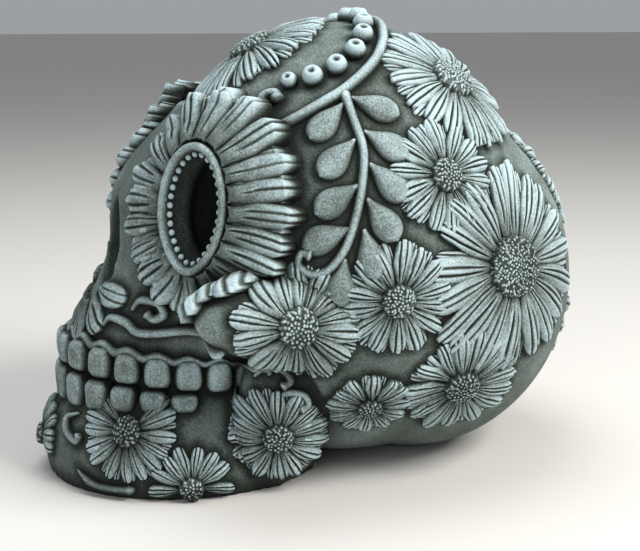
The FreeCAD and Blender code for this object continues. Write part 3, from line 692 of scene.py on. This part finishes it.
def make_frill(side_name, middle, out, side, up, half_width, half_height, seed):
    """Two layers of petals that slope down from the rim to the bone."""
    frill = Shape()
    chance = random.Random(seed)
    level = middle.dot(out) - 1.3
    for shift, scale, lift in ((0.5, 0.88, -0.6), (0.0, 1.0, 0.6)):
        for angle in even_oval(half_width + 6, half_height + 6, FRILL_PETALS, shift):
            x, y, out_x, out_y = oval(half_width - 0.6, half_height - 0.6, angle)
            turn = chance.uniform(-0.06, 0.06)
            along = (side * (out_x - out_y * turn) + up * (out_y + out_x * turn)).normalized()
            root = middle + side * x + up * y
            petal = Petal(
                start=0.0,
                length=FRILL_LENGTH * scale * chance.uniform(0.94, 1.1),
                width=FRILL_WIDTH * chance.uniform(0.92, 1.1),
                rise=5.0 * chance.uniform(0.9, 1.12),
                grooves=chance.choice((1, 2, 2)),
                groove_depth=0.55,
                blunt=chance.uniform(0.24, 0.38),
                root=0.58,
                depth=3.5,
                root_level=level - (1.5 if shift else 0),
            )
            petal_seed = chance.randrange(10 ** 6)
            add_petal(frill, petal, root, along, out.cross(along), out, petal_seed, lift, 22, 26)
    new_piece(f"frill_{side_name}", frill, [f"eye_petals_{side_name}"])


def make_eye(side_name, seed):
    middle, out, side, up, half_width, half_height = eye_frame(side_name)
    EYES.append((middle, out))
    inner_w, inner_h = half_width - RIM_WIDTH, half_height - RIM_WIDTH
    make_rim(side_name, middle, out, side, up, inner_w, inner_h)
    make_eye_beads(side_name, middle, out, side, up, inner_w, inner_h)
    make_frill(side_name, middle, out, side, up, half_width, half_height, seed)


# --- beads, leaves, tubes ------------------------------------------------------------------------------


def add_bead(shape, middle, out, radius, dimple, rings=12, spokes=18):
    """Adds a round bead; a dimple makes a small round pit on its outer side."""
    side = out.orthogonal().normalized()
    other = out.cross(side)
    rows = []
    for i in range(1, rings):
        tilt = pi * i / rings
        pit = dimple * bell(tilt, 0.33)
        ring = dimple * 0.25 * bell(tilt - 0.62, 0.2)
        size = radius - pit + ring
        row = []
        for j in range(spokes):
            turn = 2 * pi * j / spokes
            direction = out * cos(tilt) + (side * cos(turn) + other * sin(turn)) * sin(tilt)
            # Dry brushing on the outer side; painted shade towards the underside and in the pit.
            pale = 0.65 * smooth(2.2, 0.9, tilt) + 0.1 - 0.5 * bell(tilt, 0.3) * (dimple > 0)
            row.append(shape.add_point(middle + direction * size, max(0, pale)))
        rows.append(row)
    shape.add_grid(rows, wrap=True)
    pit = radius - dimple
    # Painted shade at the bottom of the pit and under the bead.
    top = shape.add_point(middle + out * pit, 0.1 if dimple else 0.75)
    bottom = shape.add_point(middle - out * radius, 0)
    shape.add_caps(rows, top, bottom)


LEAF_SHOULDER = 0.66  # where along its length a leaf is widest


def leaf_half_width(u, width):
    """Half the width of a leaf at u, from 0 at its root to 1 at its tip."""
    if u < LEAF_SHOULDER:
        return width / 2 * (0.1 + 0.9 * smooth(-0.12, LEAF_SHOULDER, u))
    return width / 2 * sqrt(max(0.004, 1 - ((u - LEAF_SHOULDER) / (1 - LEAF_SHOULDER)) ** 2))


def add_leaf(shape, root, tip, out, width, rise):
    """Adds a smooth teardrop leaf, round at the tip and pointed at the root."""
    along = tip - root
    length = along.length
    along.normalize()
    across = out.cross(along).normalized()
    steps_u, steps_v = 22, 12
    rows, normals = [], {}
    for i in range(steps_u + 1):
        u = i / steps_u
        half = leaf_half_width(u, width)
        swell = (0.55 + 0.45 * smooth(0, 0.5, u)) * (1 - 0.35 * smooth(0.88, 1, u))
        row = []
        for j in range(steps_v + 1):
            v = -1 + 2 * j / steps_v
            foot, normal = on_bone(root + along * (u * length) + across * (v * half), out)
            height = rise * (1 - 0.6 * abs(v) ** 3) * swell
            # Dry brushing along the raised middle; painted shade towards the edges, where the leaf meets the
            # bone.
            number = shape.add_point(foot + normal * height, 0.42 + 0.16 * (1 - v ** 2))
            normals[number] = normal
            row.append(number)
        rows.append(row)
    shape.add_grid(rows)
    border = border_of(rows)
    shape.close_below(border, [normals[number] for number in border], rise + 1.2)


def smooth_line(points, per_span=10):
    """A Catmull-Rom line through given points."""
    padded = [points[0] * 2 - points[1]] + points + [points[-1] * 2 - points[-2]]
    line = []
    for a, b, c, d in zip(padded, padded[1:], padded[2:], padded[3:]):
        for step in range(per_span):
            t = step / per_span
            bent = (a * 2 - b * 5 + c * 4 - d) * t ** 2 + (b * 3 - a - c * 3 + d) * t ** 3
            line.append((b * 2 + (c - a) * t + bent) / 2)
    line.append(points[-1])
    return line


def add_vine(shape, spots, radius, start_knob=0.0, end_knob=0.0, start_taper=1.0, end_taper=1.0):
    """Adds a round vine through spots (place, direction out), with an optional knob at either end."""
    count, spokes = len(spots), 14
    rows = []
    for i, (foot, normal) in enumerate(spots):
        before, after = spots[max(0, i - 1)][0], spots[min(count - 1, i + 1)][0]
        along = (after - before).normalized()
        across = normal.cross(along).normalized()
        t = i / (count - 1)
        size = radius * (start_taper + (1 - start_taper) * smooth(0, 0.3, t))
        size *= end_taper + (1 - end_taper) * smooth(1, 0.7, t)
        size *= 1 + start_knob * bell(t * count, 4) + end_knob * bell((1 - t) * count, 4)
        if i in (0, count - 1):
            size *= 0.35
        elif i in (1, count - 2):
            size *= 0.8
        centre = foot + normal * (size * 0.55)
        row = []
        for j in range(spokes):
            turn = 2 * pi * j / spokes
            place = centre + across * (cos(turn) * size) + normal * (sin(turn) * size * 1.1)
            # Dry brushing on the outer side of the vine; painted shade on its sides and underside.
            row.append(shape.add_point(place, 0.22 + 0.36 * max(0, sin(turn))))
        rows.append(row)
    shape.add_grid(rows, wrap=True)
    shape.faces.append(tuple(reversed(rows[0])))
    shape.faces.append(tuple(rows[-1]))


def outwards(point):
    """Away from the middle of the braincase."""
    return (point - Vector((0, 14, 76))).normalized()


def side_line(pairs, flip):
    """A line that is drawn in the side view (y, z) and carried sideways onto the bone."""
    out = Vector((-1, 0, 0)) if flip else Vector((1, 0, 0))
    line = smooth_line([Vector((0, y, z)) for y, z in pairs])
    return [on_bone(point + out * 55, out, 50) for point in line]


# The band over the crown in the view from above (x, y), from the curl at its left end to the middle
CROWN_VINE = [
    (40.5, -19.5), (37.5, -20), (36, -23.5), (40, -26.5), (45, -23), (47.5, -16), (48, -6), (46, 3), (40, 12),
    (31, 18), (20, 21.5), (10, 23),
]
# The sprig's stem in the side view (y, z), from the band down to the curl at its end
STEM = [
    (0, 136), (1.5, 127), (3, 118), (1.5, 108), (-1.5, 97), (-5, 88), (-10, 81.5), (-15, 80), (-18.5, 83),
    (-17.5, 86.5), (-14.5, 86),
]


def make_crown():
    vine = Shape()
    plan = CROWN_VINE + [(0, 23.3)] + [(-x, y) for x, y in reversed(CROWN_VINE)]
    line = smooth_line([Vector((x, y, 150)) for x, y in plan])
    spots = [on_bone(point, UP, 60) for point in line]
    add_vine(vine, spots, 1.9, start_knob=0.45, end_knob=0.45)
    new_piece("crown_band", vine, ["crown_vine"])
    beads = Shape()
    for part in loose_parts("crown_beads"):
        middle = Vector((part.min(0) + part.max(0)) / 2)
        size = (part.max(0) - part.min(0)).max() / 2
        out = outwards(middle)
        foot, normal = on_bone(middle, out)
        add_bead(beads, foot + normal * size * 0.55, normal, size * 1.02, size * 0.42)
    new_piece("crown_bead_row", beads, ["crown_beads"])


LEAF_HALF_LENGTH, LEAF_WIDTH, LEAF_RISE = 8.2, 9.4, 2.7


def make_sprig(side_name, flip):
    stem = Shape()
    spots = side_line(STEM, flip)
    add_vine(stem, spots, 1.5, start_knob=0.3, end_knob=0.6)
    new_piece(f"stem_{side_name}", stem, [f"sprig_stem_{side_name}"])
    leaves = Shape()
    for part in loose_parts(f"sprig_leaves_{side_name}"):
        middle, axes = principal_axes(part)
        along = axes[0]
        ends = [middle + along * LEAF_HALF_LENGTH, middle - along * LEAF_HALF_LENGTH]
        ends.sort(key=lambda end: min((end - spot).length for spot, _ in spots))
        add_leaf(leaves, ends[0], ends[1], outwards(middle), LEAF_WIDTH, LEAF_RISE)
    new_piece(f"leaves_{side_name}", leaves, [f"sprig_leaves_{side_name}"])


# --- mouth and nose ------------------------------------------------------------------------------------


TOOTH_HALF_WIDTH, TOOTH_HALF_DEPTH = 4.7, 4.6
TOOTH_SINK = 3.6  # from a tooth's front face to its middle
BITE_LIFT = 2.4  # the bite is this much higher than in the CAD


def squared(value, power=0.58):
    """Pushes a sine or cosine towards 1 or -1, which turns a ball into a rounded block."""
    return (abs(value) ** power) * (1 if value >= 0 else -1)


def add_tooth(shape, middle, out, half_height, upper, seed):
    """Adds a bulging rounded block, a little narrower towards the gum."""
    chance = random.Random(seed)
    side = UP.cross(out).normalized()
    rings, spokes = 18, 28
    lean = chance.uniform(-0.05, 0.05)
    rows = []
    for i in range(1, rings):
        rise = -pi / 2 + pi * i / rings
        row = []
        for j in range(spokes):
            turn = 2 * pi * j / spokes
            x = squared(cos(rise)) * squared(cos(turn))
            y = squared(cos(rise)) * squared(sin(turn))
            z = squared(sin(rise))
            towards_gum = z if upper else -z
            narrow = 1 - 0.14 * smooth(-0.2, 1, towards_gum)
            place = middle + side * (x * TOOTH_HALF_WIDTH * narrow + z * lean) + out * (y * TOOTH_HALF_DEPTH)
            place += UP * (z * half_height)
            wobble = noise.noise(place * 0.5 + Vector((seed, 0, 0))) * 0.25
            # Dry brushing on the front face; painted shade on the sides, between the teeth.
            row.append(shape.add_point(place + out * wobble, 0.62 if y > 0.4 else 0.2))
        rows.append(row)
    shape.add_grid(rows, wrap=True)
    bottom = shape.add_point(middle - UP * half_height, 0.3)
    top = shape.add_point(middle + UP * half_height, 0.3)
    shape.add_caps(rows, bottom, top)


def tooth_places(node):
    """Front middle, direction out and heights of each tooth, from the CAD solids."""
    places = []
    for part in loose_parts(node):
        low, high = part.min(0), part.max(0)
        middle = Vector((low + high) / 2)
        heading = Vector((middle.x / 36 ** 2, (middle.y + 46) / 43 ** 2, 0)).normalized()
        front = max((Vector(p) - middle).dot(heading) for p in part)
        places.append((middle + heading * front, heading, low[2], high[2]))
    places.sort(key=lambda place: atan2(place[0].x, -place[0].y - 46))
    return places


def make_teeth():
    """Both rows of teeth; they meet a little higher than the CAD's."""
    for row, upper in (("upper_teeth", True), ("lower_teeth", False)):
        teeth = Shape()
        for number, (front, out, low, high) in enumerate(tooth_places(row)):
            low, high = (low + BITE_LIFT, high) if upper else (low + 0.5, high + BITE_LIFT)
            middle = front - out * TOOTH_SINK
            middle.z = (low + high) / 2
            add_tooth(teeth, middle, out, (high - low) / 2 + 0.4, upper, number)
        new_piece(f"{row}_row", teeth, [row])


def make_gum():
    """A wavy line above the upper teeth: high over each tooth, low between two."""
    gum = Shape()
    line = []
    places = tooth_places("upper_teeth")
    for (front, out, _, high), (after, _, _, next_high) in zip(places, places[1:] + places[-1:]):
        line.append(front - out * 1.6 + UP * (high + 0.9 - front.z))
        between = (front + after) / 2
        line.append(Vector((between.x, between.y, (high + next_high) / 2 - 0.8)) - out * 2.2)
    spots = []
    for point in smooth_line(line, 6):
        spots.append(on_bone(point, (point - Vector((0, -40, point.z))).normalized()))
    add_vine(gum, spots, 1.7, start_taper=0.5, end_taper=0.5)
    new_piece("gum_line", gum, ["gum_band"])


NOSE_PETAL_ANGLES = (-74, -50, -28, -9, 9, 28, 50, 74)  # from straight down


def make_nose():
    """Long petals that spread down from the nose over the upper jaw."""
    low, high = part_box("nose_petals")
    low, high = low / MM, high / MM
    shape = Shape()
    chance = random.Random(31)
    out = facing_out(0, -16, False)
    side = UP.cross(out).normalized()
    up = out.cross(side)
    middle = Vector((0, low.y + 14, high.z + 5))
    for angle in NOSE_PETAL_ANGLES:
        turn = radians(angle + chance.uniform(-3, 3))
        along = (-up * cos(turn) + side * sin(turn)).normalized()
        petal = Petal(
            start=7.5 + 2.5 * abs(sin(turn)),
            length=19 * chance.uniform(0.92, 1.05) - 3 * abs(sin(turn)),
            width=7.2, rise=2.5, grooves=2, groove_depth=0.6, blunt=0.3, root=0.4,
        )
        add_petal(shape, petal, middle, along, out.cross(along), out, chance.randrange(10 ** 6))
    new_piece("nose_petal_fan", shape, ["nose_petals"])


# Scrolls in the side view (y, z)
LIP_SCROLL = [(-77, 56), (-74, 59.5), (-69.5, 59), (-66, 56.3), (-60, 56.8), (-52, 58.2), (-44, 58)]
LIP_CURL = [(-68, 63), (-64.5, 67), (-59.5, 67), (-58, 63.5), (-61, 61.5), (-63, 63.5)]
JAW_CURLS = [
    [(-30, 42), (-26, 45.5), (-21, 45), (-19, 41.5), (-22, 39.5)],
    [(-24, 34.5), (-20, 37.5), (-15, 36.5), (-13.5, 33), (-16.5, 31.5)],
]
CHIN_CURLS = [
    [(-86, 26), (-89.5, 23.5), (-90, 19.5), (-87.5, 17.5), (-86, 20)],
    [(-88, 8), (-83, 4.5), (-77, 3.8), (-70, 4.2)],
]


LIP_CURL_RADIUS, JAW_CURL_RADIUS, CHIN_CURL_RADIUS = 1.7, 1.5, 1.4


def make_curls(name, node, lines, flip, radius):
    """Small scrolls that run on the bone, thin where they start and with a knob at the end."""
    shape = Shape()
    for line in lines:
        add_vine(shape, side_line(line, flip), radius, end_knob=0.35, start_taper=0.45)
    new_piece(name, shape, [node])


# --- stage ---------------------------------------------------------------------------------------------


FLOOR_HALF_SIZE = 12.0  # in metres, so that its edge is far behind the skull


def make_stage():
    """A plain pale floor."""
    mesh = bpy.data.meshes.new("floor")
    corners = [(x * FLOOR_HALF_SIZE, y * FLOOR_HALF_SIZE, 0) for x, y in ((-1, -1), (1, -1), (1, 1), (-1, 1))]
    mesh.from_pydata(corners, [], [(0, 1, 2, 3)])
    floor = bpy.data.objects.new("floor", mesh)
    bpy.context.collection.objects.link(floor)
    paint = bpy.data.materials.new("floor")
    paint.use_nodes = True
    shader = paint.node_tree.nodes["Principled BSDF"]
    shader.inputs["Base Color"].default_value = (0.62, 0.60, 0.57, 1)
    shader.inputs["Roughness"].default_value = 0.9
    mesh.materials.append(paint)


def add_light(name, position, target, size, power, colour):
    lamp = bpy.data.lights.new(name, "AREA")
    lamp.size, lamp.energy, lamp.color = size, power, colour
    light = bpy.data.objects.new(name, lamp)
    light.location = position
    light.rotation_euler = (Vector(target) - Vector(position)).to_track_quat("-Z", "Y").to_euler()
    bpy.context.collection.objects.link(light)


def make_lights():
    """Soft studio light: a key from behind the left side, a weak fill, a light from above and a pale sky."""
    middle = (0, 0, 0.08)
    add_light("key", (0.55, 0.55, 0.75), middle, 0.45, 13, (1.0, 0.98, 0.94))
    add_light("fill", (0.75, -0.55, 0.35), middle, 0.7, 3.0, (0.90, 0.95, 1.0))
    add_light("top", (-0.1, -0.1, 0.9), middle, 0.6, 5, (0.95, 0.98, 1.0))
    world = bpy.data.worlds.new("studio")
    world.use_nodes = True
    sky = world.node_tree.nodes["Background"]
    sky.inputs["Color"].default_value = (0.80, 0.83, 0.86, 1)
    sky.inputs["Strength"].default_value = 0.42
    bpy.context.scene.world = world


def make_camera():
    """Looks at the skull's left side, a little from behind the face and from above."""
    azimuth, elevation, distance = radians(75), radians(12), 0.450
    back = Vector((sin(azimuth) * cos(elevation), -cos(azimuth) * cos(elevation), sin(elevation)))
    right = Vector((cos(azimuth), sin(azimuth), 0))
    up = back.cross(right)
    aim = Vector((0, 0, 0.074)) + right * 0.0048 - up * 0.0083
    data = bpy.data.cameras.new("camera")
    data.lens = 68.3
    data.sensor_width = 36
    data.clip_start = 0.01
    camera = bpy.data.objects.new("camera", data)
    turned = Matrix((right, up, back)).transposed().to_4x4()
    camera.matrix_world = Matrix.Translation(aim + back * distance) @ turned
    bpy.context.collection.objects.link(camera)
    bpy.context.scene.camera = camera
    bpy.context.scene.view_settings.view_transform = "Standard"


# --- assembly ------------------------------------------------------------------------------------------


def open_air(point):
    """Falls from 1 on the outside of the bone to 0 deep in the eye sockets and the nose, where the bone gets
    painted shade.
    """
    share = 1.0
    for middle, out in EYES:
        offset = point - middle
        depth = offset.dot(out)
        if (offset - out * depth).length < SOCKET_REACH:
            share *= smooth(-9, -2, depth)
    nose, half_sizes = NOSTRIL
    near = Vector((abs(point.x) - nose.x, point.y - nose.y, point.z - nose.z))
    stretched = Vector((near.x / half_sizes.x, near.y / half_sizes.y, near.z / half_sizes.z)).length
    return share * smooth(0.9, 1.12, stretched)


def shade_bone():
    """Painted shade on the bone: darker beside the relief and deep in the eye sockets and the nose; the
    material darkens it low on the face.
    """
    relief = []
    for piece in bpy.data.objects:
        if piece.type == "MESH" and "pale" in piece.data.attributes and piece is not BONE:
            relief.append(search_tree(piece))
    values = []
    for vertex in BONE.data.vertices:
        point = vertex.co / MM
        gap = 4.0
        for tree in relief:
            hit, _, _, distance = tree.find_nearest(point, gap)
            if hit is not None:
                gap = min(gap, distance)
        # Painted shade: darker within 4 mm of the relief and fully dark deep in the sockets and the nose.
        values.append((0.16 + 0.30 * smooth(0, 4, gap)) * open_air(point))
    BONE.data.attributes.new("pale", "FLOAT", "POINT").data.foreach_set("value", values)


make_daisies()
for eye_seed, eye_side in enumerate(("left", "right"), 900):
    make_eye(eye_side, eye_seed)
make_crown()
for side_name, is_right in (("left", False), ("right", True)):
    make_sprig(side_name, is_right)
    for curl, node, lines, radius in (
        ("lip_curls", "lip_scroll", [LIP_SCROLL, LIP_CURL], LIP_CURL_RADIUS),
        ("jaw_curls", "jaw_scrolls", JAW_CURLS, JAW_CURL_RADIUS),
        ("chin_curls", "chin_scrolls", CHIN_CURLS, CHIN_CURL_RADIUS),
    ):
        make_curls(f"{curl}_{side_name}", f"{node}_{side_name}", lines, is_right, radius)
make_nose()
make_teeth()
make_gum()
shade_bone()
dress(BONE, ["cranium", "lower_jaw"])

make_stage()
make_lights()
make_camera()
